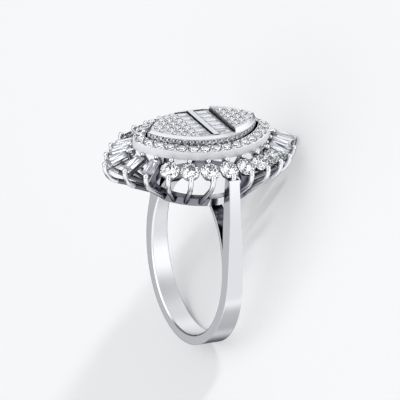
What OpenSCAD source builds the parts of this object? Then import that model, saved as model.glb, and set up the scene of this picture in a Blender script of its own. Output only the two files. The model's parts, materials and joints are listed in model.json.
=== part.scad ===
// Ballerina cocktail ring with a navette head, laid down as it rests by itself:
// on the claw at one tip of the head and on a small flat on the band's foot.
// The ring is drawn upright first, finger axis along Y and head up, with its origin at
// the middle of the finger hole. rest() then lays each piece down. All sizes in mm.

/* [Band] */
// Diameter of the finger hole
hole_d = 17.3; // [17.1:0.1:17.5]
// Distance from the finger hole to the outside of the band at the equator
band_out = 1.51; // [1.4:0.05:1.6]
// How far the outside circle sits above the hole's centre, which thins the foot
band_rise = 0.46; // [0.3:0.02:0.5]
// Width of the band at the height of the hole's centre
band_w = 1.88; // [1.7:0.02:2.1]
// Width lost for each mm of height, so that the foot is the widest place
band_taper = 0.0747; // [0.06:0.001:0.08]
// Thickness of the arch between the shoulders and the gallery rail
arch_t = 0.57; // [0.5:0.01:0.65]
// Depth of the small flat on the foot's edge, on which the ring lies without rolling
flat_deep = 0.15; // [0.1:0.01:0.2]
// Width of the bevel round each end of the finger hole
hole_bevel = 0.15; // [0.1:0.01:0.2]

/* [Outer halo] */
// Half width of the pointed outline on which the outer stones sit
halo_a = 7.05; // [7:0.05:7.2]
// Half length of that outline
halo_b = 10.1; // [10.05:0.05:10.2]
// Height of the outer stones' girdles above the finger axis
halo_z = 13.2; // [13.1:0.05:13.3]
// Diameter of the round stones
round_d = 2.1; // [2:0.05:2.1]
// Outward tilt of the round stones in degrees
round_tilt = 36; // [34:1:38]
// Length of the tapered baguettes at the ends
bag_l = 2.3; // [2.1:0.05:2.35]
// Width of a tapered baguette at its outer end
bag_w_out = 1.3; // [1.1:0.05:1.35]
// Width of a tapered baguette at its inner end
bag_w_in = 1.12; // [0.9:0.02:1.14]
// Outward tilt of the tapered baguettes in degrees
bag_tilt = 21; // [19:1:23]
// Radius of the claw wire
wire_r = 0.27; // [0.24:0.01:0.28]
// Radius of the ball at a claw's end
ball_r = 0.29; // [0.28:0.01:0.3]

/* [Second halo and plaque] */
// Half width of the pointed spine that the plaque and second halo are offset from
spine_a = 3.5; // [3.5:0.05:3.6]
// Half length of that spine
spine_b = 6.05; // [6:0.05:6.1]
// Diameter of the second halo's stones
halo2_d = 1.1; // [0.9:0.05:1.1]
// Diameter of the pave stones on the plaque
pave_d = 0.9; // [0.8:0.02:0.9]
// Distance between neighbours in a row of pave stones
pave_pitch = 1.01; // [1.01:0.01:1.06]
// Diameter of the tiny stones round the plaque's skirt
skirt_d = 0.54; // [0.4:0.02:0.54]
// Width of a baguette on the plaque
plaque_bag_w = 1.04; // [0.9:0.02:1.06]
// Distance between neighbouring baguettes on the plaque
plaque_bag_pitch = 1.1; // [1.1:0.01:1.12]

/* [Hidden] */
$fn = 48;
gap = 0.04;

// Band: the outside runs on as a wide arc up the shoulders, tangent at join_a degrees
hole_r = hole_d / 2;
band_r = hole_r + band_out;
shoulder_r = 90;
join_a = 5;
join_z = band_rise + band_r * sin(join_a);
shoulder_cx = (shoulder_r - band_r) * cos(join_a);
shoulder_cz = band_rise - (shoulder_r - band_r) * sin(join_a);
shoulder_top = 12.45;
inner_r = 32;
inner_x = 7.42;
inner_z = 11.2;
arch_r = hole_r + arch_t;
arch_end = 3.9;
opening_foot = 4;

// Gallery rail: an oval of two wide arcs, outside half sizes rail_a by rail_b
rail_a = 5.35;
rail_b = 5.95;
rail_c = (rail_b * rail_b - rail_a * rail_a) / (2 * rail_a);
rail_r = rail_a + rail_c;
rail_w = 1.05;
rail_low = 8.3;
rail_top = 9.15;
foot_in = 0.22;
foot_low = 8.65;

// Outer halo: stations k = -6 to 6 along each side arc, k = 0 over the shoulder
stations = 6;
last_round = 3;
halo_c = (halo_b * halo_b - halo_a * halo_a) / (2 * halo_a);
halo_r = halo_a + halo_c;
halo_al = atan2(halo_b, halo_c);
halo_drop = 0.2;
// How far inside the pointed outline each station sits, from the shoulder to the tip
pull = [0, 0, 0, 0.06, 0.27, 0.27, 0.03];
sides = [1, -1];
round_k = [-3, -2, -1, 0, 1, 2, 3];
// Each end baguette: side of the ring, station
end_seats = [
    [1, 4], [1, 5], [1, 6], [-1, 5], [-1, 4],
    [1, -4], [1, -5], [1, -6], [-1, -5], [-1, -4]
];
wire_seats = [
    for (k = [1 : 5]) for (s = sides) for (e = sides) [s, e * k],
    [1, 6],
    [1, -6]
];
girdle = 0.03;
bend_r = 2.2;
joint_gap = 0.6;
post_r = 0.2;

// Second halo and plaque: profile heights, and u is the distance outside the spine
spine_c = (spine_b * spine_b - spine_a * spine_a) / (2 * spine_a);
spine_r = spine_a + spine_c;
spine_al = atan2(spine_b, spine_c);
halo2_in = 0.7;
halo2_out = 2;
halo2_row = 1.35;
halo2_low = 13.8;
halo2_edge = 14.7;
halo2_top = 15;
halo2_slope = atan2(halo2_top - halo2_edge, halo2_out - halo2_in);
halo2_count = 30;
skirt_u = 0.42;
skirt_low = 14.85;
skirt_count = 44;
floor_z = 14.95;
field_z = 15.82;
rim_z = 15.8;
block_z = 16.16;
block_y = 2.42;
bar_x = 3.45;
bar_y = [-0.22, 0.42];
bar_z = 15.87;
lip_y = 2.4;
lip_z = 15.72;
channel_l = [1.5, 1.88];
channel_z = 15.28;
bag_z = 15.52;
bag_ledge = 0.12;
bag_columns = 6;
// Rows of pave stones: distance from the bar's middle along Y, stones in the row, diameter
left_rows = [[-2.4, 5, pave_d], [-3.3, 4, pave_d], [-4.2, 3, pave_d], [-5.22, 1, pave_d]];
// Smaller stones between the left field's rows and its curved edge: x either way, y
edge_seats = [[2.77, -2.4], [2.3, -3.3], [1.77, -4.2], [0.76, -5.22]];
edge_d = 0.5;
right_rows = [[2.98, 5, pave_d], [3.88, 4, pave_d], [4.78, 3, pave_d], [5.68, 1, 0.76]];
seat_deep = 0.5;

// Rest pose: the tip claw's bend and the flat on the foot's edge lie on the floor
tip_ball = outer_ball(1, 6);
foot_edge_z = band_rise - band_r;
foot_edge_y = band_half(foot_edge_z);
rest_y = tip_ball[1] - bend_r - foot_edge_y;
rest_z = tip_ball[2] - foot_edge_z;
lean = atan2(rest_y, rest_z)
    + asin((bend_r + wire_r + flat_deep) / norm([rest_y, rest_z]));
lift = foot_edge_y * cos(lean) - foot_edge_z * sin(lean) - flat_deep;
shift = -3.965;

function two(i) = str(i < 10 ? "0" : "", i);
ROUNDS = [for (i = [1 : 14]) str("round_stone_", two(i))];
ENDS = [for (i = [1 : 10]) str("end_baguette_", two(i))];
PLAQUE = [for (i = [1 : 12]) str("plaque_baguette_", two(i))];
FIELDS = ["halo_pave", "pave_left", "pave_right", "skirt_pave"];

function band_half(z) = (band_w - band_taper * z) / 2;

// Places on the outer halo. e runs outward along a stone's girdle, n is its axis.
function tilt(k) = abs(k) <= last_round ? round_tilt : bag_tilt;
function facing(side, k) =
    let (a = 90 * pow(abs(k) / stations, 1.5) * sign(k))
    side > 0 ? a : 180 - a;
function station(side, k) =
    let (a = halo_al * k / stations, in = pull[abs(k)])
    [
        side * (halo_r * cos(a) - halo_c) - in * cos(facing(side, k)),
        halo_r * sin(a) - in * sin(facing(side, k)),
        halo_z - halo_drop * abs(k) / stations
    ];
function at(side, k, e, n) =
    let (out = e * cos(tilt(k)) + n * sin(tilt(k)))
    station(side, k) + [
        out * cos(facing(side, k)),
        out * sin(facing(side, k)),
        n * cos(tilt(k)) - e * sin(tilt(k))
    ];
function is_round(k) = abs(k) <= last_round;
// Where a wire stops rising, and the middle of the ball that it carries
function elbow(side, k) =
    is_round(k) ? at(side, k, round_d / 2 + 0.22, 0.25) : outer_ball(side, k);
function outer_ball(side, k) =
    is_round(k)
        ? at(side, k, round_d / 2 + 0.02, 0.43)
        : at(side, k, bag_l / 2 + ball_r + gap, -0.06);
function inner_ball(side, k) =
    is_round(k) ? at(side, k, -round_d / 2 - 0.03, 0.355) : at(side, k, -bag_l / 2 - 0.3, 0.1);
function claw_foot(side, k) =
    let (
        a = 90 * pow(abs(k) / stations, 0.8),
        x = (rail_a - foot_in) * cos(a),
        clear = hole_r + wire_r + gap
    )
    [
        side * x,
        sign(k) * (rail_b - foot_in) * sin(a),
        max(foot_low, x < clear ? sqrt(clear * clear - x * x) : 0)
    ];

// A place s mm along the outline u mm outside the spine, from the +Y tip round towards +X.
// Each is [x, y, direction of the outward normal].
function tip_half(u) = u * (90 - spine_al) * PI / 180;
function quarter(u) = tip_half(u) + (spine_r + u) * spine_al * PI / 180;
function quarter_place(s, u) =
    let (a = s < tip_half(u)
        ? 90 - s / u * 180 / PI
        : spine_al - (s - tip_half(u)) / (spine_r + u) * 180 / PI)
    s < tip_half(u)
        ? [u * cos(a), spine_b + u * sin(a), a]
        : [(spine_r + u) * cos(a) - spine_c, (spine_r + u) * sin(a), a];
function outline_place(s, u) =
    let (
        q = floor(s / quarter(u)),
        rest = s - q * quarter(u),
        p = quarter_place(q % 2 == 0 ? rest : quarter(u) - rest, u)
    )
    q == 0 ? p
        : q == 1 ? [p[0], -p[1], -p[2]]
        : q == 2 ? [-p[0], -p[1], 180 + p[2]]
        : [-p[0], p[1], 180 - p[2]];
function on_outline(i, count, u) = outline_place(i * 4 * quarter(u) / count, u);

// Where an inner claw's link meets the second halo
function spine_end(p, u) =
    let (
        side = atan2(abs(p[1]), abs(p[0]) + spine_c) < spine_al,
        centre = side ? [-spine_c * sign(p[0]), 0] : [0, spine_b * sign(p[1])],
        v = [p[0], p[1]] - centre,
        q = centre + v / norm(v) * (u + (side ? spine_r : 0))
    )
    [q[0], q[1], p[2]];

// Middles of the plaque's baguettes, left column first
function bag_x(i) = (i % bag_columns - (bag_columns - 1) / 2) * plaque_bag_pitch;
function bag_y(i) =
    i < bag_columns ? bar_y[0] - gap - channel_l[0] / 2 : bar_y[1] + gap + channel_l[1] / 2;

// Places and diameters of one field of pave stones
function field(rows) = [
    for (row = rows)
        for (i = [0 : row[1] - 1])
            [(i - (row[1] - 1) / 2) * pave_pitch, row[0], row[2]]
];
left_field = concat(
    field(left_rows),
    [for (seat = edge_seats) for (s = sides) [s * seat[0], seat[1], edge_d]]
);
right_field = field(right_rows);

module rest() {
    translate([0, shift, lift])
        rotate([lean - 90, 0, 0])
            children();
}

module round_bar(r, x, z, w) {
    translate([x, 0, z])
        rotate([90, 0, 0])
            cylinder(h = w, r = r, center = true, $fn = r > 20 ? 720 : 180);
}

module rod(p, q, r) {
    v = q - p;
    translate(p)
        rotate([0, acos(v[2] / norm(v)), atan2(v[1], v[0])])
            cylinder(h = norm(v), r = r);
}

module at_station(side, k) {
    translate(station(side, k))
        rotate([0, tilt(k), facing(side, k)])
            children();
}

// Cut stones. Each has its girdle at z = 0 and its table up.
module brilliant(d) {
    r = d / 2;
    table_r = 0.57 * r;
    star_r = 0.79 * r;
    low_r = 0.3 * r;
    crown = girdle + 0.31 * r;
    culet = girdle + 0.83 * r;
    star_z = girdle + (crown - girdle) * (r - star_r * cos(22.5)) / (r - table_r);
    low_z = -girdle - (culet - girdle) * (r - low_r * cos(22.5)) / r;
    points = [
        for (i = [0 : 7]) [table_r * cos(45 * i), table_r * sin(45 * i), crown],
        for (i = [0 : 7]) [star_r * cos(45 * i + 22.5), star_r * sin(45 * i + 22.5), star_z],
        for (z = [girdle, -girdle]) for (j = [0 : 15]) [r * cos(22.5 * j), r * sin(22.5 * j), z],
        for (i = [0 : 7]) [low_r * cos(45 * i + 22.5), low_r * sin(45 * i + 22.5), low_z],
        [0, 0, -culet]
    ];
    faces = [
        [for (i = [7 : -1 : 0]) i],
        for (i = [0 : 7]) each [
            [i, (i + 1) % 8, 8 + i],
            [i, 8 + i, 16 + 2 * i],
            [i, 16 + 2 * i, 8 + (i + 7) % 8],
            [8 + i, 17 + 2 * i, 16 + 2 * i],
            [8 + i, 16 + (2 * i + 2) % 16, 17 + 2 * i],
            [48 + i, 32 + 2 * i, 33 + 2 * i],
            [48 + i, 33 + 2 * i, 32 + (2 * i + 2) % 16],
            [56, 48 + (i + 7) % 8, 32 + 2 * i],
            [56, 32 + 2 * i, 48 + i]
        ],
        for (j = [0 : 15]) [16 + j, 16 + (j + 1) % 16, 32 + (j + 1) % 16, 32 + j]
    ];
    polyhedron(points, faces);
}

module single_cut(d, depth = 0.4) {
    r = d / 2;
    rims = [[0.58 * r, 0.15 * d], [r, 0.02], [r, -0.02]];
    points = [
        for (rim = rims) for (i = [0 : 7]) [rim[0] * cos(45 * i), rim[0] * sin(45 * i), rim[1]],
        [0, 0, -depth * d]
    ];
    faces = [
        [for (i = [7 : -1 : 0]) i],
        for (level = [0, 8]) for (i = [0 : 7])
            [level + i, level + (i + 1) % 8, level + 8 + (i + 1) % 8, level + 8 + i],
        for (i = [0 : 7]) [24, 16 + i, 16 + (i + 1) % 8]
    ];
    polyhedron(points, faces);
}

// Step cut, long way along X, w_out wide at +X and w_in at -X, its table step in from
// the girdle
module step_cut(l, w_out, w_in, step, crown, pavilion) {
    // Each level: inset from the girdle, height
    levels = [
        [step, crown],
        [0.46 * step, 0.62 * crown],
        [0, girdle],
        [0, -girdle],
        [0.25 * w_in, -0.62 * pavilion]
    ];
    keel = l / 2 - 0.45 * w_in;
    points = [
        for (v = levels) each [
            [l / 2 - v[0], v[0] - w_out / 2, v[1]],
            [l / 2 - v[0], w_out / 2 - v[0], v[1]],
            [v[0] - l / 2, w_in / 2 - v[0], v[1]],
            [v[0] - l / 2, v[0] - w_in / 2, v[1]]
        ],
        [keel, 0, -pavilion],
        [-keel, 0, -pavilion]
    ];
    faces = [
        [3, 2, 1],
        [3, 1, 0],
        for (level = [0 : 4 : 12]) for (i = [0 : 3]) each [
            [level + i, level + (i + 1) % 4, level + 4 + (i + 1) % 4],
            [level + i, level + 4 + (i + 1) % 4, level + 4 + i]
        ],
        [16, 17, 20],
        [17, 18, 21],
        [17, 21, 20],
        [18, 19, 21],
        [19, 16, 20],
        [19, 20, 21]
    ];
    polyhedron(points, faces);
}

// Band with its shoulders and arch
module band_sides() {
    // Height, half width
    stops = [
        [-11, band_half(-11)],
        [8, band_half(8)],
        [13, band_half(8) - 0.04]
    ];
    rotate([90, 0, 90])
        linear_extrude(24, center = true)
            polygon([
                for (i = [0 : 2]) [stops[i][1], stops[i][0]],
                for (i = [2 : -1 : 0]) [-stops[i][1], stops[i][0]]
            ]);
}

module hoop() {
    difference() {
        round_bar(band_r, 0, band_rise, 4);
        translate([0, 0, join_z + 10])
            cube([24, 5, 20], center = true);
    }
}

module shoulders() {
    intersection() {
        round_bar(shoulder_r, -shoulder_cx, shoulder_cz, 4);
        round_bar(shoulder_r, shoulder_cx, shoulder_cz, 4);
        translate([0, 0, (join_z + shoulder_top) / 2])
            cube([24, 4, shoulder_top - join_z], center = true);
    }
}

module side_opening() {
    difference() {
        translate([0, -3, opening_foot])
            cube([8.4, 6, 10]);
        round_bar(arch_r, 0, 0, 7);
        round_bar(inner_r, inner_x + inner_r, inner_z, 7);
    }
}

// Cone square to the band's flat face that bevels the edge of the finger hole
module hole_bevel_cone() {
    translate([0, -band_half(0), 0])
        rotate([90 - atan2(band_taper, 2), 0, 0])
            translate([0, 0, -1])
                cylinder(h = 2, r1 = hole_r + hole_bevel - 1, r2 = hole_r + hole_bevel + 1, $fn = 180);
}

// What lies below the floor once the ring is laid down
module under_floor() {
    rotate([90 - lean, 0, 0])
        translate([-6, -18 - shift, -3 - lift])
            cube([12, 10, 3]);
}

module shank() {
    color("gainsboro")
        intersection() {
            band_sides();
            difference() {
                union() {
                    hoop();
                    shoulders();
                }
                round_bar(hole_r, 0, 0, 5);
                hole_bevel_cone();
                mirror([0, 1, 0]) hole_bevel_cone();
                side_opening();
                mirror([1, 0, 0]) side_opening();
                translate([0, 0, 10])
                    cube([2 * arch_end, 5, 8], center = true);
                under_floor();
            }
        }
}

module rail_prism(inset, low, high) {
    intersection() {
        translate([-rail_c, 0, low])
            cylinder(h = high - low, r = rail_r - inset, $fn = 120);
        translate([rail_c, 0, low])
            cylinder(h = high - low, r = rail_r - inset, $fn = 120);
    }
}

module gallery_rail() {
    color("silver")
        difference() {
            rail_prism(0, rail_low, rail_top);
            rail_prism(rail_w, rail_low - 1, rail_top + 1);
            round_bar(hole_r, 0, 0, 14);
        }
}

// A claw wire: straight up from the rail, then round a bend until it stands upright
module outer_claw(side, k) {
    top = elbow(side, k);
    foot = claw_foot(side, k);
    run = norm([top[0] - foot[0], top[1] - foot[1]]);
    rise = top[2] - foot[2];
    turn = atan2(run - bend_r, rise) + asin(bend_r / norm([run - bend_r, rise]));
    joint = [run - bend_r + bend_r * cos(turn), 0, rise - bend_r * sin(turn)];
    straight = norm(joint);
    color("silver") {
        translate(foot)
            rotate([0, 0, atan2(top[1] - foot[1], top[0] - foot[0])]) {
                rod([0, 0, 0], joint * (1 - 0.01 / straight), wire_r);
                translate(joint)
                    sphere(wire_r + 0.015);
                translate([run - bend_r, 0, rise])
                    rotate([90, 0, 0])
                        rotate([0, 0, -turn + joint_gap])
                            rotate_extrude(angle = turn - joint_gap)
                                translate([bend_r, 0])
                                    circle(wire_r);
            }
        claw_tip(side, k);
    }
}

// The ball at a claw's end, with the hook that carries it over a round stone's edge
module claw_tip(side, k) {
    top = elbow(side, k);
    ball = outer_ball(side, k);
    translate(ball)
        sphere(ball_r + (is_round(k) ? 0 : 0.02));
    if (is_round(k)) {
        translate(top)
            sphere(wire_r + 0.015);
        rod(top, ball, wire_r - 0.03);
    }
}

// The two claws that stand on the shoulders' tips
module shoulder_claw(side) {
    top = elbow(side, 0);
    color("silver") {
        rod([top[0] - side * 0.36, 0, top[2] - 1.4], top, wire_r);
        claw_tip(side, 0);
    }
}

// A round stone's inner claw bows out round the stone's edge
module inner_claw(side, k) {
    ball = inner_ball(side, k);
    low = is_round(k) ? at(side, k, -0.78, -0.5) : at(side, k, -bag_l / 2 - 0.25, -0.95);
    bow = -round_d / 2 - post_r - 0.05;
    foot = is_round(k) ? at(side, k, bow, -0.42) : low;
    knee = is_round(k) ? at(side, k, bow, 0.16) : ball;
    // The link leaves the claw at the height of the second halo's underside
    link_z = halo2_low - 0.05;
    link = foot + (knee - foot) * (link_z - foot[2]) / (knee[2] - foot[2]);
    color("silver") {
        rod(foot, knee, post_r);
        rod(link, spine_end(link, halo2_out - 0.45), post_r - 0.02);
        translate(ball)
            sphere(0.27);
        if (is_round(k)) {
            rod(low, foot, post_r - 0.03);
            rod(knee, ball, post_r);
            translate(foot)
                sphere(post_r + 0.01);
            translate(knee)
                sphere(post_r + 0.01);
        }
    }
}

// A conical collet under a round stone, tied to its outer claw by a short strut
module collet(side, k) {
    r = round_d / 2;
    color("silver")
        at_station(side, k) {
            rotate_extrude()
                polygon([
                    [r + 0.02, -0.13],
                    [0.62, -0.95],
                    [0.5, -0.95],
                    [r - 0.2, -0.32],
                    [r - 0.07, -0.13]
                ]);
            translate([r - 0.22, 0, -0.36])
                rotate([0, 90, 0])
                    cylinder(h = 0.85, r = 0.15);
        }
}

// A bar under an end baguette from its inner claw to its outer one
module seat_bar(side, k) {
    color("silver")
        at_station(side, k)
            translate([-bag_l / 2 - 0.3, -0.17, -1.12])
                cube([bag_l + 0.95, 0.34, 0.3]);
}

// Carries a 2D profile round the spine: x is the distance outside it
module sweep_spine() {
    for (s = sides) {
        translate([-s * spine_c, 0, 0])
            rotate([0, 0, (s > 0 ? 0 : 180) - spine_al])
                rotate_extrude(angle = 2 * spine_al, $fn = 180)
                    translate([spine_r, 0])
                        children();
        translate([0, s * spine_b, 0])
            rotate([0, 0, (s > 0 ? 0 : 180) + spine_al])
                rotate_extrude(angle = 180 - 2 * spine_al, $fn = 180)
                    children();
    }
}

// Pointed oval u outside the spine, or u1 outside it below and u2 above
module tapered_prism(u1, u2, low, high) {
    intersection() {
        translate([-spine_c, 0, low])
            cylinder(h = high - low, r1 = spine_r + u1, r2 = spine_r + u2, $fn = 180);
        translate([spine_c, 0, low])
            cylinder(h = high - low, r1 = spine_r + u1, r2 = spine_r + u2, $fn = 180);
    }
}

module pointed_prism(u, low, high) {
    tapered_prism(u, u, low, high);
}

// Second halo, flange, neck, skirt with its groove, and rim in one profile
module head_profile() {
    polygon([
        [0, 14],
        [0.9, 14],
        [1.1, halo2_low],
        [halo2_out, halo2_low],
        [halo2_out, halo2_edge],
        [halo2_in, halo2_top],
        [halo2_in, 14.3],
        [0.1, 14.3],
        [0.1, skirt_low],
        [skirt_u, skirt_low],
        [skirt_u, skirt_low + 0.07],
        [0.14, skirt_low + 0.07],
        [0.14, skirt_low + 0.67],
        [skirt_u, skirt_low + 0.67],
        [skirt_u, skirt_low + 0.74],
        [0.1, rim_z],
        [0, rim_z]
    ]);
}

module raised_block() {
    intersection() {
        union() {
            pointed_prism(0.07, 15.2, 15.7);
            tapered_prism(0.34, 0.1, 15.57, block_z);
        }
        translate([-4, block_y, 15])
            cube([8, 5, 2]);
    }
}

module channel(y, l) {
    w = bag_columns * plaque_bag_pitch + gap;
    translate([-w / 2, y, channel_z])
        cube([w, l, 1]);
    translate([-w / 2 + bag_ledge, y + bag_ledge, 14.5])
        cube([w - 2 * bag_ledge, l - 2 * bag_ledge, 1]);
}

module pave_seats(places, z) {
    for (p = places)
        translate([p[0], p[1], z - seat_deep])
            cylinder(h = 1, r = p[2] / 2 + gap, $fn = 32);
}

module halo2_seats() {
    for (i = [0 : halo2_count - 1])
        on_halo2(i)
            translate([0, 0, -seat_deep])
                cylinder(h = 1.2, r = halo2_d / 2 + gap, $fn = 32);
}

module on_halo2(i) {
    p = on_outline(i, halo2_count, halo2_row);
    top = halo2_edge + (halo2_out - halo2_row) * tan(halo2_slope);
    translate([p[0], p[1], top])
        rotate([0, halo2_slope, p[2]])
            children();
}

module head() {
    color("gainsboro")
        difference() {
            union() {
                sweep_spine() head_profile();
                pointed_prism(0.05, floor_z, field_z);
                difference() {
                    pointed_prism(0.05, 14.05, 15.1);
                    pointed_prism(-0.5, 14, 15.2);
                }
                raised_block();
                translate([-bar_x, bar_y[0], 15.1])
                    cube([2 * bar_x, bar_y[1] - bar_y[0], bar_z - 15.1]);
                translate([-3.1, lip_y - 0.3, 15.1])
                    cube([6.2, 0.5, lip_z - 15.1]);
            }
            channel(bar_y[0] - channel_l[0] - 2 * gap, channel_l[0] + 2 * gap);
            channel(bar_y[1], channel_l[1] + 2 * gap);
            pave_seats(left_field, field_z);
            pave_seats(right_field, block_z);
            halo2_seats();
        }
}

module ring_mount() {
    rest() {
        shank();
        gallery_rail();
        head();
        for (s = sides)
            shoulder_claw(s);
        for (seat = wire_seats)
            outer_claw(seat[0], seat[1]);
        for (s = sides)
            for (k = round_k) {
                collet(s, k);
                inner_claw(s, k);
            }
        for (seat = end_seats) {
            seat_bar(seat[0], seat[1]);
            inner_claw(seat[0], seat[1]);
        }
    }
}

module round_stone(i) {
    rest()
        color("azure")
            at_station(sides[floor((i - 1) / 7)], round_k[(i - 1) % 7])
                brilliant(round_d);
}

module end_baguette(i) {
    seat = end_seats[i - 1];
    rest()
        color("azure")
            at_station(seat[0], seat[1])
                step_cut(bag_l, bag_w_out, bag_w_in, 0.2, 0.26, 0.62);
}

module plaque_baguette(i) {
    l = channel_l[i <= bag_columns ? 0 : 1];
    rest()
        color("azure")
            translate([bag_x(i - 1), bag_y(i - 1), bag_z])
                rotate([0, 0, 90])
                    step_cut(l, plaque_bag_w, plaque_bag_w, 0.15, 0.24, 0.5);
}

module halo_pave() {
    rest()
        color("azure")
            for (i = [0 : halo2_count - 1])
                on_halo2(i)
                    single_cut(halo2_d);
}

module pave_field(places, z) {
    rest()
        color("azure")
            for (p = places)
                translate([p[0], p[1], z])
                    single_cut(p[2]);
}

module skirt_pave() {
    u = 0.36;
    rest()
        color("azure")
            for (i = [0 : skirt_count - 1]) {
                p = on_outline(i, skirt_count, u);
                translate([p[0], p[1], skirt_low + 0.37])
                    rotate([0, 90, p[2]])
                        single_cut(skirt_d, 0.36);
            }
}

ring_mount();
for (i = [1 : 14])
    round_stone(i);
for (i = [1 : 10])
    end_baguette(i);
for (i = [1 : 12])
    plaque_baguette(i);
halo_pave();
pave_field(left_field, field_z);  // pave_left
pave_field(right_field, block_z);  // pave_right
skirt_pave();
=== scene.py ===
import json
import math

import bmesh
import bpy
from mathutils import Matrix, Vector


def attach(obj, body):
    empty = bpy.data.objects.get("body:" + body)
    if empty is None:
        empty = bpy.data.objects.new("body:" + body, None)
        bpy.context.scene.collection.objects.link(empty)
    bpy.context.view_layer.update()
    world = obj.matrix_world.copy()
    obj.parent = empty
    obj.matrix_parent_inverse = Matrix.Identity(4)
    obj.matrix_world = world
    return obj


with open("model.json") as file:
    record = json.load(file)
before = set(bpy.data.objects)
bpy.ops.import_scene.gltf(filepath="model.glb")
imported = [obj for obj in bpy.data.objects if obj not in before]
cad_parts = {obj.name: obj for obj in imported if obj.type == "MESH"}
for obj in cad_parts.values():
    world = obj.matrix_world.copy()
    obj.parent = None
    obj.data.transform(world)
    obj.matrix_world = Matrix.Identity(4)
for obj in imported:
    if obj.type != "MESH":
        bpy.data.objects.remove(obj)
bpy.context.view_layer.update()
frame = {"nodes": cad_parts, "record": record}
nodes = frame["nodes"]
scene = bpy.context.scene

# The ring's frame

# It has the finger axis along Y, the head up and its origin in the middle of the finger
# hole. The ring lies down as it rests, and the hole's mount says how. All sizes are in mm,
# and only Blender's own values are in metres.
MM_PER_M = 1000
hole = frame["record"]["mounts"][0]
LEAN_SIN = -hole["axis"][1]
LEAN_COS = hole["axis"][2]
HOLE_MIDDLE = Vector(hole["pos_m"]) * MM_PER_M
HOLE_R = hole["dims"]["r_mm"]


def turned(v):
    """A direction of the ring's frame as one of the world."""
    x, y, z = v
    return Vector((x, y * LEAN_SIN + z * LEAN_COS, z * LEAN_SIN - y * LEAN_COS))


def turned_back(v):
    """A direction of the world as one of the ring's frame."""
    x, y, z = v
    return Vector((x, y * LEAN_SIN - z * LEAN_COS, y * LEAN_COS + z * LEAN_SIN))


def in_ring(p):
    """A point of the world, in mm, as one of the ring's frame."""
    return turned_back(p - HOLE_MIDDLE)


UP = turned((0, 0, 1))

# Heights of the part above the hole's middle, which the metals and beads go by
OPENING_FOOT = 4
ARCH_FOOT = 6.4
RAIL_LOW = 8.3
RAIL_TOP = 9.15
SHOULDER_TOP = 12.45
HALO_LOW = 13.8
SEATS_LOW = 14.3
HALO_EDGE = 14.7
SKIRT_LOW = 14.85
CHANNEL_LOW = 15.5
SKIRT_TOP = 15.6
BLOCK_TOP = 16.16

# Distance of the arch's outer face from the finger axis, least and most
ARCH_FACE = (9.15, 9.25)
SHOULDER_IN = 4
SHOULDER_HALF_WIDTH = 1.2
PAVE_PITCH = 1.01
PAVE_ROW = 0.9

# Distances outside the spine of the plaque and the second halo, a pointed oval of two arcs
HALO_IN = 0.7
HALO_OUT = 2
SKIRT_GROOVE = (0.1, 0.46)
HALO_SEATS = (0.75, 1.92)
SPINE_HALF_WIDTH = 3.5
SPINE_HALF_LENGTH = 6.05
SPINE_C = (SPINE_HALF_LENGTH ** 2 - SPINE_HALF_WIDTH ** 2) / (2 * SPINE_HALF_WIDTH)
SPINE_R = SPINE_HALF_WIDTH + SPINE_C


def outside(p):
    """How far a point of the ring's frame is outside the spine."""
    x, y = abs(p[0]) + SPINE_C, abs(p[1])
    if math.atan2(y, x) < math.atan2(SPINE_HALF_LENGTH, SPINE_C):
        return math.hypot(x, y) - SPINE_R
    return math.hypot(p[0], y - SPINE_HALF_LENGTH)


# Materials

COOL_WHITE = (0.97, 0.98, 1, 1)
EDGE_TINT = (0.12, 0.12, 0.14, 1)
CREVICE_PAINTED_SHADE = (0.012, 0.012, 0.016, 1)


def new_material(name):
    mat = bpy.data.materials.new(name)
    mat.use_nodes = True
    return mat, mat.node_tree.nodes["Principled BSDF"]


def white_gold(name, tone, rough, metallic=1, shade=None, edge=0.05):
    """Polished metal whose roughness wanders between the two of rough. With a shade, painted
    shade darkens its colour where it lies deep among other metal, in place of the dark
    reflections there: shade is how far that reaches, and the shares of open space at which
    the painted shade is darkest and at which it ends. Its edges are then as round as edge."""
    mat, shader = new_material(name)
    n, links = mat.node_tree.nodes, mat.node_tree.links
    shader.inputs["Metallic"].default_value = metallic
    shader.inputs["Base Color"].default_value = (*tone, 1)
    shader.inputs["Specular Tint"].default_value = EDGE_TINT
    where = n.new("ShaderNodeTexCoord")
    noise = n.new("ShaderNodeTexNoise")
    noise.inputs["Scale"].default_value = 900
    noise.inputs["Detail"].default_value = 3
    spread = n.new("ShaderNodeMapRange")
    spread.inputs["To Min"].default_value, spread.inputs["To Max"].default_value = rough
    links.new(where.outputs["Object"], noise.inputs["Vector"])
    links.new(noise.outputs["Fac"], spread.inputs["Value"])
    links.new(spread.outputs["Result"], shader.inputs["Roughness"])
    if not shade:
        return mat
    reach, darkest, brightest = shade
    # Painted shade: the share of open space round a spot darkens the base colour towards near black
    open_share = n.new("ShaderNodeAmbientOcclusion")
    open_share.samples = 8
    open_share.inputs["Distance"].default_value = reach / MM_PER_M
    ramp = n.new("ShaderNodeValToRGB")
    low, high = ramp.color_ramp.elements
    low.position, low.color = darkest, CREVICE_PAINTED_SHADE
    high.position, high.color = brightest, (*tone, 1)
    links.new(open_share.outputs["AO"], ramp.inputs["Fac"])
    links.new(ramp.outputs["Color"], shader.inputs["Base Color"])
    soft = n.new("ShaderNodeBevel")
    soft.samples = 6
    soft.inputs["Radius"].default_value = edge / MM_PER_M
    links.new(soft.outputs["Normal"], shader.inputs["Normal"])
    return mat


def diamond(name):
    mat, shader = new_material(name)
    shader.inputs["Base Color"].default_value = COOL_WHITE
    shader.inputs["Roughness"].default_value = 0
    shader.inputs["IOR"].default_value = 2.42
    shader.inputs["Transmission Weight"].default_value = 1
    return mat


def glowing(mat, strength):
    """The material with a little painted light of its own, a glow from no lamp."""
    shader = mat.node_tree.nodes["Principled BSDF"]
    shader.inputs["Emission Color"].default_value = COOL_WHITE
    shader.inputs["Emission Strength"].default_value = strength
    return mat


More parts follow.
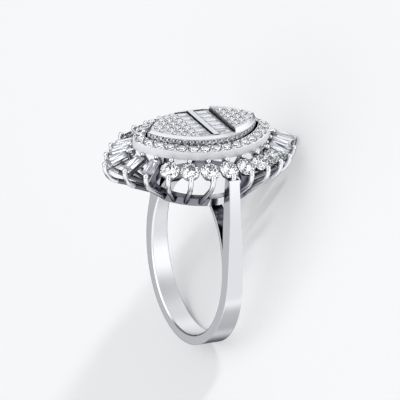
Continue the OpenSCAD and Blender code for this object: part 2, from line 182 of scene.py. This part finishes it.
POLISHED = (0.9, 0.9, 0.92)
# Every metal given a shade below gets painted shade in its hollows
BAND = white_gold("polished_band", POLISHED, (0.1, 0.16), shade=(1.5, 0.1, 0.5), edge=0.12)
INSIDE = white_gold("satin_inside", (0.93, 0.93, 0.94), (0.3, 0.36), 0.6, shade=(1.5, 0.05, 0.35))
PLAQUE = white_gold("polished_plaque", POLISHED, (0.06, 0.12), shade=(0.8, 0.1, 0.5))
WALL = white_gold("satin_wall", (0.93, 0.93, 0.95), (0.5, 0.55), 0.3)
# Painted shade: the channel sides are a darker copy of the plaque's metal, darkest at their foot
SIDES = white_gold("channel_sides_painted_shade", (0.82, 0.82, 0.84), (0.2, 0.3), shade=(0.8, 0.45, 0.72))
CLAWS = white_gold("polished_claws", (0.92, 0.92, 0.94), (0.05, 0.1), shade=(3, 0.3, 0.7))
# Painted shade: the cage metal is a dark copy of the white gold, put where shade falls under the head
# and inside the opening
SHADED_CAGE = white_gold("cage_painted_shade", (0.3, 0.3, 0.33), (0.08, 0.14), shade=(3, 0.35, 0.8))
BEADS = white_gold("burnished_beads", (0.92, 0.92, 0.93), (0.08, 0.14))
# Painted shade: the gap metal is near black, put where shade falls under the skirt and on the stones'
# seats
SHADED_GAP = white_gold("gap_painted_shade", (0.03, 0.03, 0.035), (0.3, 0.4))
METALS = [BAND, INSIDE, PLAQUE, WALL, SIDES, CLAWS, SHADED_CAGE, BEADS, SHADED_GAP]
DIAMOND = diamond("cut_diamond")
# Painted glow: the pave stones' tables and the mirror facets of the long and skirt stones give a little
# light of their own
GLOWING_TABLE = glowing(diamond("stone_tables_painted_glow"), 0.3)
GLOWING_MIRROR = glowing(white_gold("mirror_facets_painted_glow", (0.96, 0.97, 1), (0.02, 0.05)), 0.1)


def dress(obj, *mats):
    obj.data.materials.clear()
    for mat in mats:
        obj.data.materials.append(mat)


# Mount

# Its metal goes by the middle of each face, so the limits lie a little beside the part's sizes


def band_metal(p, facing):
    """Metal of the shank, the shoulders and the arch between them, with the dark cage metal as painted
    shade on the inner face above the arch's foot and on the faces inside the opening.
    """
    r = math.hypot(p[0], p[2])
    if r < HOLE_R + 0.01:
        return INSIDE if p[2] < ARCH_FOOT else SHADED_CAGE
    on_arch = ARCH_FACE[0] < r < ARCH_FACE[1]
    faces_in = facing[0] * p[0] < -0.7 * abs(p[0])
    return SHADED_CAGE if p[2] > OPENING_FOOT and (on_arch or faces_in) else BAND


def plaque_metal(p, facing, u):
    """Metal of the plaque and the second halo, u outside the spine, with the near-black gap metal and
    the dark cage metal as painted shade under the skirt and on the stones' seats.
    """
    below_skirt = p[2] < SKIRT_LOW + 0.01
    if below_skirt and u < HALO_IN:
        return SHADED_CAGE if facing[2] < -0.5 else SHADED_GAP
    if not below_skirt and p[2] < SKIRT_TOP and SKIRT_GROOVE[0] < u < SKIRT_GROOVE[1]:
        return BEADS
    if abs(facing[1]) > 0.95 and p[2] > CHANNEL_LOW:
        return SIDES
    on_seats = u < 0.05 or HALO_SEATS[0] < u < HALO_SEATS[1]
    if on_seats and facing[2] < 0.6 and p[2] > SEATS_LOW:
        return SHADED_GAP
    return WALL if u > HALO_OUT - 0.04 and p[2] < HALO_EDGE + 0.02 else PLAQUE


def mount_metal(p, facing):
    """Metal at a point of the ring's frame where the mount faces that way, with the dark cage metal as
    painted shade round the rail and under the second halo.
    """
    u = outside(p)
    beside_rail = abs(p[0]) > SHOULDER_IN and abs(p[1]) < SHOULDER_HALF_WIDTH
    if p[2] < RAIL_LOW - 0.1 or beside_rail and p[2] < SHOULDER_TOP + 0.15:
        return band_metal(p, facing)
    if u < HALO_OUT + 0.02 and p[2] > HALO_LOW - 0.1:
        return plaque_metal(p, facing, u)
    under_halo = u < HALO_OUT + 0.6 and p[2] < HALO_LOW - 0.5
    return SHADED_CAGE if p[2] < RAIL_TOP + 0.15 or under_halo else CLAWS


def dress_mount(obj):
    dress(obj, *METALS)
    for f in obj.data.polygons:
        metal = mount_metal(in_ring(f.center * MM_PER_M), turned_back(f.normal))
        f.material_index = METALS.index(metal)


# Stones

# Light inside a cut stone comes back to the eye, so the back facets of the long stones and
# # of the skirt's tiny ones are mirrors with a faint painted glow, and the tables of the pave stones
# have a painted glow.
VERTEX_GRID = 1e-7
WAY_GRID = 0.02


def loose_parts(mesh):
    """Lists of the faces that hang together, one for each stone of a field."""
    spots = {}
    keys = []
    for v in mesh.vertices:
        spot = tuple(round(c / VERTEX_GRID) for c in v.co)
        keys.append(spots.setdefault(spot, len(spots)))
    above = list(range(len(spots)))

    def root(i):
        while above[i] != i:
            above[i] = above[above[i]]
            i = above[i]
        return i

    for f in mesh.polygons:
        for v in f.vertices[1:]:
            above[root(keys[v])] = root(keys[f.vertices[0]])
    parts = {}
    for f in mesh.polygons:
        parts.setdefault(root(keys[f.vertices[0]]), []).append(f)
    return list(parts.values())


def table_of(faces):
    """Middle of a stone's largest flat, in world mm, and the way it faces."""
    flats = {}
    for f in faces:
        way = tuple(round(c / WAY_GRID) for c in f.normal)
        area, middle = flats.get(way, (0, Vector()))
        flats[way] = (area + f.area, middle + f.center * f.area)
    way = max(flats, key=lambda k: flats[k][0])
    area, middle = flats[way]
    return middle / area * MM_PER_M, Vector(way).normalized()


def tables(name):
    """Middle and way of the table of each stone in a field."""
    return [table_of(faces) for faces in loose_parts(nodes[name].data)]


def dress_baguette(obj):
    """Clear crown and mirrored back facets with a faint painted glow."""
    dress(obj, DIAMOND, GLOWING_MIRROR)
    top = max(obj.data.polygons, key=lambda f: f.area).normal
    for f in obj.data.polygons:
        f.material_index = int(f.normal.dot(top) < -0.1)


def dress_skirt(obj):
    """Clear stones whose facets towards the plaque's middle are mirrors with a faint painted glow."""
    dress(obj, DIAMOND, GLOWING_MIRROR)
    for f in obj.data.polygons:
        at = f.center * MM_PER_M
        step = outside(in_ring(at + f.normal * 0.1)) - outside(in_ring(at))
        f.material_index = int(step < -0.01)


def dress_field(obj):
    """Clear stones whose tables have a painted glow."""
    dress(obj, DIAMOND, GLOWING_TABLE)
    for faces in loose_parts(obj.data):
        way = table_of(faces)[1]
        for f in faces:
            f.material_index = int(f.normal.dot(way) > 0.97)


for name, obj in nodes.items():
    if name == "ring_mount":
        dress_mount(obj)
    elif "baguette" in name:
        dress_baguette(obj)
    elif name == "skirt_pave":
        dress_skirt(obj)
    elif name in ("halo_pave", "pave_left", "pave_right"):
        dress_field(obj)
    else:
        dress(obj, DIAMOND)

# Beads that hold the small stones

# How near two of them are one, how far below the stones' tables they lie at most, and how
# far inside the spine and from a stone's middle they stay
BEAD_GRID = 0.15
BEAD_DEEPEST = 0.3
RIM_CLEAR = 0.35
STONE_CLEAR = 0.44


def bead(bm, p, r, axis, squash=1):
    """Add a ball of radius r at p, flattened along the axis by squash."""
    made = bmesh.ops.create_icosphere(bm, subdivisions=2, radius=r / MM_PER_M)["verts"]
    to = axis.to_track_quat("Z", "Y").to_matrix().to_4x4()
    size = Matrix.Diagonal((1, 1, squash, 1))
    bmesh.ops.transform(bm, matrix=Matrix.Translation(p / MM_PER_M) @ to @ size, verts=made)
    for v in made:
        for f in v.link_faces:
            f.smooth = True


def finish_beads(name, bm):
    """Make one piece of the beads."""
    mesh = bpy.data.meshes.new(name)
    bm.to_mesh(mesh)
    bm.free()
    obj = bpy.data.objects.new(name, mesh)
    scene.collection.objects.link(obj)
    dress(obj, BEADS)
    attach(obj, "root")


def on_mount(p, way):
    """Where a line from p first meets the mount, or None."""
    hit, at, _, _ = nodes["ring_mount"].ray_cast(p / MM_PER_M, way)
    return at * MM_PER_M if hit else None


def field_beads(name, fields, r):
    """Beads in the gaps between three stones of a staggered field, where there is metal."""
    bm = bmesh.new()
    done = set()
    x, y = PAVE_PITCH / 2, PAVE_ROW / 3
    gaps = [turned((a, b, 0)) for a, b in ((x, y), (x, -y), (-x, y), (-x, -y), (0, 2 * y), (0, -2 * y))]
    for field in fields:
        for middle, way in tables(field):
            for gap in gaps:
                q = middle + gap
                spot = tuple(round(c / BEAD_GRID) for c in q)
                at = on_mount(q + way * 0.5, -way)
                if spot in done or at is None or not 0 < (q - at).dot(way) < BEAD_DEEPEST:
                    continue
                if field == "pave_left" and outside(in_ring(at)) > -RIM_CLEAR:
                    continue
                done.add(spot)
                bead(bm, at, r, way, 0.8)
    finish_beads(name, bm)


def edge_beads(name, field, inset, first_y, step, count, r):
    """Beads along the raised block's curved edges, where no stone lies."""
    bm = bmesh.new()
    middles = [middle for middle, _ in tables(field)]
    reach = SPINE_R - inset
    for side in (1, -1):
        for i in range(count):
            a = math.asin(first_y / reach) + i * step / reach
            x, y = side * (reach * math.cos(a) - SPINE_C), reach * math.sin(a)
            at = on_mount(turned((x, y, BLOCK_TOP + 1)) + HOLE_MIDDLE, -UP)
            if at is not None and all((at - middle).length > STONE_CLEAR for middle in middles):
                bead(bm, at, r, UP, 0.9)
    finish_beads(name, bm)


def row_beads(name, row, across, sink, r, reach):
    """Beads between neighbours in a closed row of stones, at both sides of the row."""
    bm = bmesh.new()
    found = tables(row)
    for i, (p, p_way) in enumerate(found):
        for q, q_way in found[i + 1:]:
            if (q - p).length > reach:
                continue
            axis = (p_way + q_way).normalized()
            side = axis.cross((q - p).normalized())
            for hand in (1, -1):
                bead(bm, (p + q) / 2 + side * hand * across - axis * sink, r, axis)
    finish_beads(name, bm)


field_beads("field_beads", ("pave_left", "pave_right"), r=0.13)
edge_beads("edge_beads", "pave_right", inset=0.1, first_y=2.68, step=0.42, count=8, r=0.13)
row_beads("halo_beads", "halo_pave", across=0.42, sink=0.12, r=0.15, reach=1.5)
row_beads("skirt_beads", "skirt_pave", across=0.2, sink=0.06, r=0.07, reach=0.9)

# Floor, studio, lamp and camera


def add_floor():
    """A pale floor, a little brighter than the light on it makes it."""
    bpy.ops.mesh.primitive_plane_add(size=3, location=(0, 0, 0))
    floor = bpy.context.object
    floor.name = "floor"
    mat, shader = new_material("floor")
    shader.inputs["Base Color"].default_value = (0.6, 0.603, 0.606, 1)
    shader.inputs["Emission Color"].default_value = (0.99, 0.995, 1, 1)
    shader.inputs["Emission Strength"].default_value = 0.25
    shader.inputs["Roughness"].default_value = 1
    shader.inputs["Specular IOR Level"].default_value = 0
    floor.data.materials.append(mat)
    floor.visible_glossy = False


add_floor()

# The studio is a grey room with soft boxes, each a direction, the half angles in degrees at
# which it begins to fade and ends, and how bright it is. A later box covers earlier ones,
# and the dark box, which gives the stones and wires their dark lines, covers all.
ROOM_LEVEL = 0.22
SOFT_BOXES = [
    ((0, 0, -1), 60, 85, 1.1),
    ((0.8, 0.5, -0.25), 15, 32, 1.5),
    ((0.83, -0.15, -0.55), 12, 26, 0.84),
    ((0.22, -0.6, -0.77), 8, 28, 0.58),
    ((-0.85, -0.3, -0.4), 10, 22, 0.7),
    ((-0.81, 0.55, -0.2), 18, 30, 1.25),
    ((0, 0, 1), 20, 50, 1.5),
    ((0, 0.9, 0.44), 25, 50, 0.95),
    ((0, -0.76, 0.64), 25, 45, 1.05),
    ((-0.81, -0.545, 0.2), 15, 32, 0.72),
    ((0.815, -0.546, 0.195), 22, 42, 1),
]
DARK_BOX = ((0.81, 0.18, 0.55), 9, 22, 0.03)

world = bpy.data.worlds.new("studio")
scene.world = world
world.use_nodes = True
n, links = world.node_tree.nodes, world.node_tree.links
where = n.new("ShaderNodeTexCoord").outputs["Generated"]
ray = n.new("ShaderNodeLightPath").outputs


def patch(way, inner, outer):
    """1 round a direction of the room, fading to 0 between two half angles."""
    dot = n.new("ShaderNodeVectorMath")
    dot.operation = "DOT_PRODUCT"
    dot.inputs[1].default_value = Vector(way).normalized()
    links.new(where, dot.inputs[0])
    fade = n.new("ShaderNodeMapRange")
    fade.interpolation_type = "SMOOTHSTEP"
    fade.inputs["From Min"].default_value = math.cos(math.radians(outer))
    fade.inputs["From Max"].default_value = math.cos(math.radians(inner))
    links.new(dot.outputs["Value"], fade.inputs["Value"])
    return fade.outputs["Result"]


def cover(level, share, bright):
    """The level of light with share of it covered by another. Either may be a number."""
    mix = n.new("ShaderNodeMix")
    for socket, value in ((mix.inputs[2], level), (mix.inputs[3], bright)):
        if isinstance(value, bpy.types.NodeSocket):
            links.new(value, socket)
        else:
            socket.default_value = value
    links.new(share, mix.inputs[0])
    return mix.outputs[0]


def sparkle():
    """Bright boxes between dark ones."""
    cells = n.new("ShaderNodeTexVoronoi")
    cells.inputs["Scale"].default_value = 3.6
    tone = n.new("ShaderNodeSeparateColor")
    bright = n.new("ShaderNodeMapRange")
    bright.inputs["From Min"].default_value = 0.3
    bright.inputs["From Max"].default_value = 0.4
    bright.inputs["To Min"].default_value = 0.08
    bright.inputs["To Max"].default_value = 1.9
    links.new(where, cells.inputs["Vector"])
    links.new(cells.outputs["Color"], tone.inputs["Color"])
    links.new(tone.outputs["Red"], bright.inputs["Value"])
    return bright.outputs["Result"]


level = ROOM_LEVEL
for way, inner, outer, bright in SOFT_BOXES:
    level = cover(level, patch(way, inner, outer), bright)
# What shines through the stones comes from many small boxes all round the head
through = n.new("ShaderNodeMath")
through.operation = "MULTIPLY"
links.new(patch(UP, 80, 105), through.inputs[0])
links.new(ray["Is Transmission Ray"], through.inputs[1])
level = cover(level, through.outputs[0], sparkle())
level = cover(level, patch(*DARK_BOX[:3]), DARK_BOX[3])
room = n["Background"]
room.inputs["Color"].default_value = COOL_WHITE
links.new(level, room.inputs["Strength"])
# The room's far wall, behind the floor, is plain and pale
far_wall = n.new("ShaderNodeBackground")
far_wall.inputs["Color"].default_value = COOL_WHITE
choose = n.new("ShaderNodeMixShader")
links.new(ray["Is Camera Ray"], choose.inputs[0])
links.new(room.outputs["Background"], choose.inputs[1])
links.new(far_wall.outputs["Background"], choose.inputs[2])
links.new(choose.outputs["Shader"], n["World Output"].inputs["Surface"])


def add_lamp():
    """Low soft lamp behind the head, whose shadow falls past the foot."""
    light = bpy.data.lights.new("low_lamp", "AREA")
    light.shape = "DISK"
    light.size = 0.18
    light.energy = 14
    lamp = bpy.data.objects.new("low_lamp", light)
    lamp.location = (0.4, 1.42, 0.5)
    lamp.rotation_euler = lamp.location.to_track_quat("Z", "Y").to_euler()
    lamp.visible_glossy = False
    lamp.visible_transmission = False
    lamp.visible_camera = False
    scene.collection.objects.link(lamp)


add_lamp()

# The camera's right and its way back in the ring's frame, how far and how large the ring is,
# and how far the hole's middle lies right of and below the picture's middle, in pixels
CAMERA_RIGHT = (0.4331, 0.8996, 0.0564)
CAMERA_BACK = (0.8141, -0.4172, 0.404)
PICTURE = 400
SENSOR = 36
DISTANCE = 600
PX_PER_MM = 9.137
HOLE_RIGHT = -5.925
HOLE_BELOW = 55.263


def add_camera():
    back = turned(CAMERA_BACK).normalized()
    up = back.cross(turned(CAMERA_RIGHT).normalized()).normalized()
    right = up.cross(back)
    eye = back * DISTANCE - right * (HOLE_RIGHT / PX_PER_MM) + up * (HOLE_BELOW / PX_PER_MM)
    camera = bpy.data.objects.new("camera", bpy.data.cameras.new("camera"))
    scene.collection.objects.link(camera)
    camera.data.sensor_width = SENSOR
    camera.data.lens = PX_PER_MM * DISTANCE / PICTURE * SENSOR
    camera.data.clip_start = 0.05
    camera.data.clip_end = 5
    axes = Matrix((right, up, back)).transposed().to_4x4()
    camera.matrix_world = Matrix.Translation((eye + HOLE_MIDDLE) / MM_PER_M) @ axes
    scene.camera = camera


add_camera()
scene.view_settings.view_transform = "Standard"
scene.view_settings.look = "Medium High Contrast"
scene.view_settings.exposure = -0.2
